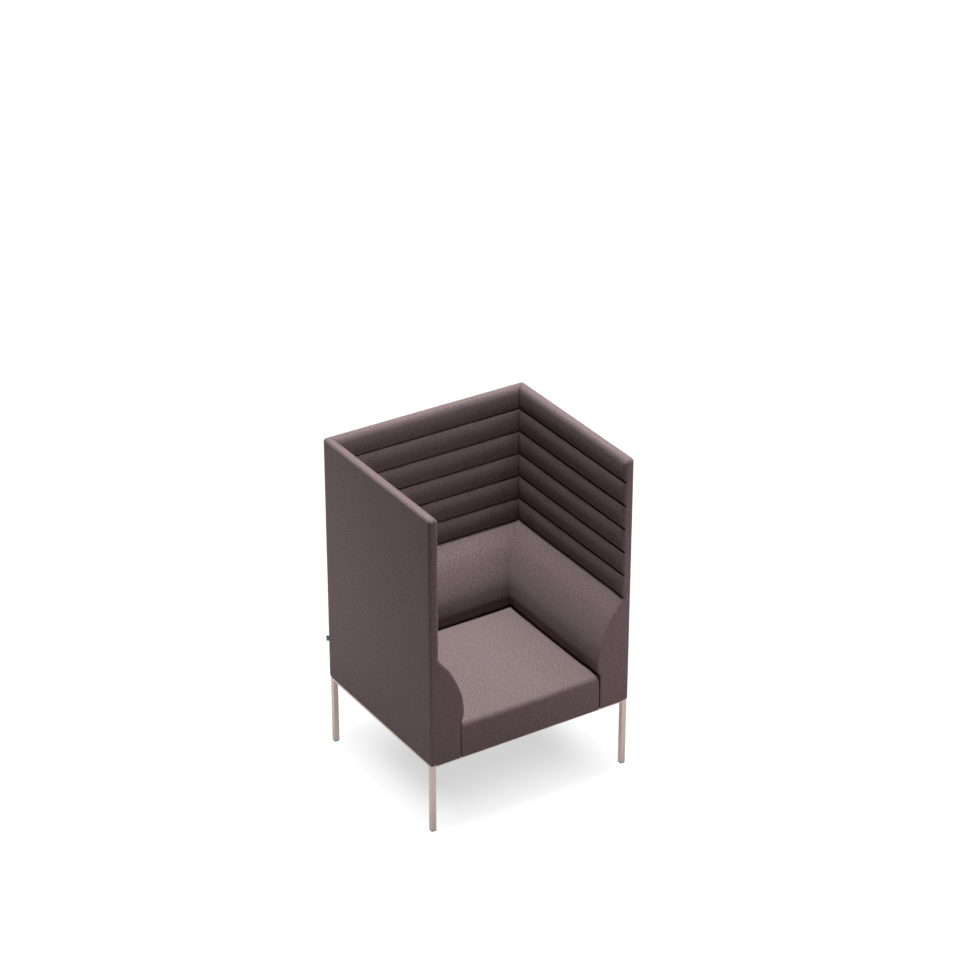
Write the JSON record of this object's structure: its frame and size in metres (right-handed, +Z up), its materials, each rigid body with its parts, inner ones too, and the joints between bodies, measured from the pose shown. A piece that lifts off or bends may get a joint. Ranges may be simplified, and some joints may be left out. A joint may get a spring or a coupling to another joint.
{
  "type": "acoustic high back lounge chair",
  "caption": "High back lounge chair: a padded seat nook with channelled inner walls, standing on a slim square tube frame with levelling feet.",
  "frame": {"origin": "on the floor, under the middle of the seat unit's outline", "axes": "+Z up, the front of the chair looks along -Y, +X to the right as seen from the front"},
  "size_m": [0.8703, 0.7413, 1.3],
  "materials": {
    "upholstery": "fine wool weave in a taupe mix, over foam",
    "label": "blank woven tape",
    "webbing": "woven elastic webbing and thin black lining cloth",
    "timber": "raw birch plywood and planed beech",
    "frame_lacquer": "satin champagne powder coat on steel",
    "screw_steel": "zinc plated",
    "foot_plastic": "dark grey nylon, fine matt grain"
  },
  "bodies": {
    "chair_body": {"cover_left": "upholstery", "cover_right": "upholstery", "cover_back": "upholstery", "channel_pad_left": "upholstery", "channel_pad_right": "upholstery", "channel_pad_back": "upholstery", "arm_cushion_left": "upholstery", "arm_cushion_right": "upholstery", "back_cushion": "upholstery", "seat_cushion": "upholstery", "label_tab": "label", "dust_cover": "webbing", "seat_strap_1": "webbing", "seat_strap_2": "webbing", "seat_strap_3": "webbing", "seat_strap_4": "webbing", "core_left": "timber", "core_right": "timber", "core_back": "timber", "base_board_left": "timber", "base_board_right": "timber", "base_board_front": "timber", "base_board_back": "timber", "arm_board_left": "timber", "arm_board_right": "timber", "back_board": "timber", "seat_rail_left": "timber", "seat_rail_right": "timber", "seat_rail_front": "timber", "seat_rail_back": "timber", "leg_front_left": "frame_lacquer", "leg_front_right": "frame_lacquer", "leg_back_left": "frame_lacquer", "leg_back_right": "frame_lacquer", "rail_front": "frame_lacquer", "rail_back": "frame_lacquer", "rail_left": "frame_lacquer", "rail_right": "frame_lacquer", "cross_rail_front": "frame_lacquer", "cross_rail_back": "frame_lacquer", "corner_plate_front_left": "frame_lacquer", "corner_plate_front_right": "frame_lacquer", "corner_plate_back_left": "frame_lacquer", "corner_plate_back_right": "frame_lacquer", "frame_screw_front_left": "screw_steel", "frame_screw_front_right": "screw_steel", "frame_screw_back_left": "screw_steel", "frame_screw_back_right": "screw_steel", "leg_plug_front_left": "foot_plastic", "leg_plug_front_right": "foot_plastic", "leg_plug_back_left": "foot_plastic", "leg_plug_back_right": "foot_plastic"},
    "pad_front_left": {"foot_pad_front_left": "foot_plastic"},
    "pad_front_right": {"foot_pad_front_right": "foot_plastic"},
    "pad_back_left": {"foot_pad_back_left": "foot_plastic"},
    "pad_back_right": {"foot_pad_back_right": "foot_plastic"},
    "stem_front_left": {"foot_stem_front_left": "screw_steel"},
    "stem_front_right": {"foot_stem_front_right": "screw_steel"},
    "stem_back_left": {"foot_stem_back_left": "screw_steel"},
    "stem_back_right": {"foot_stem_back_right": "screw_steel"}
  },
  "joints": [
    {"name": "foot_front_left_height", "type": "slide", "parent": "chair_body", "child": "pad_front_left", "axis": [0, 0, -1], "range_m": [0, 0.008]},
    {"name": "foot_front_right_height", "type": "slide", "parent": "chair_body", "child": "pad_front_right", "axis": [0, 0, -1], "range_m": [0, 0.008]},
    {"name": "foot_back_left_height", "type": "slide", "parent": "chair_body", "child": "pad_back_left", "axis": [0, 0, -1], "range_m": [0, 0.008]},
    {"name": "foot_back_right_height", "type": "slide", "parent": "chair_body", "child": "pad_back_right", "axis": [0, 0, -1], "range_m": [0, 0.008]},
    {"name": "stem_front_left_turn", "type": "hinge", "parent": "pad_front_left", "child": "stem_front_left", "pos_m": [-0.4175, -0.353, 0], "axis": [0, 0, -1], "range_deg": [0, 2304.1]},
    {"name": "stem_front_right_turn", "type": "hinge", "parent": "pad_front_right", "child": "stem_front_right", "pos_m": [0.4175, -0.353, 0], "axis": [0, 0, -1], "range_deg": [0, 2304.1]},
    {"name": "stem_back_left_turn", "type": "hinge", "parent": "pad_back_left", "child": "stem_back_left", "pos_m": [-0.4175, 0.353, 0], "axis": [0, 0, -1], "range_deg": [0, 2304.1]},
    {"name": "stem_back_right_turn", "type": "hinge", "parent": "pad_back_right", "child": "stem_back_right", "pos_m": [0.4175, 0.353, 0], "axis": [0, 0, -1], "range_deg": [0, 2304.1]}
  ],
  "couplings": [
    {"joint": "stem_front_left_turn", "follows": "foot_front_left_height", "rad_per_m": 5026.5},
    {"joint": "stem_front_right_turn", "follows": "foot_front_right_height", "rad_per_m": 5026.5},
    {"joint": "stem_back_left_turn", "follows": "foot_back_left_height", "rad_per_m": 5026.5},
    {"joint": "stem_back_right_turn", "follows": "foot_back_right_height", "rad_per_m": 5026.5}
  ]
}
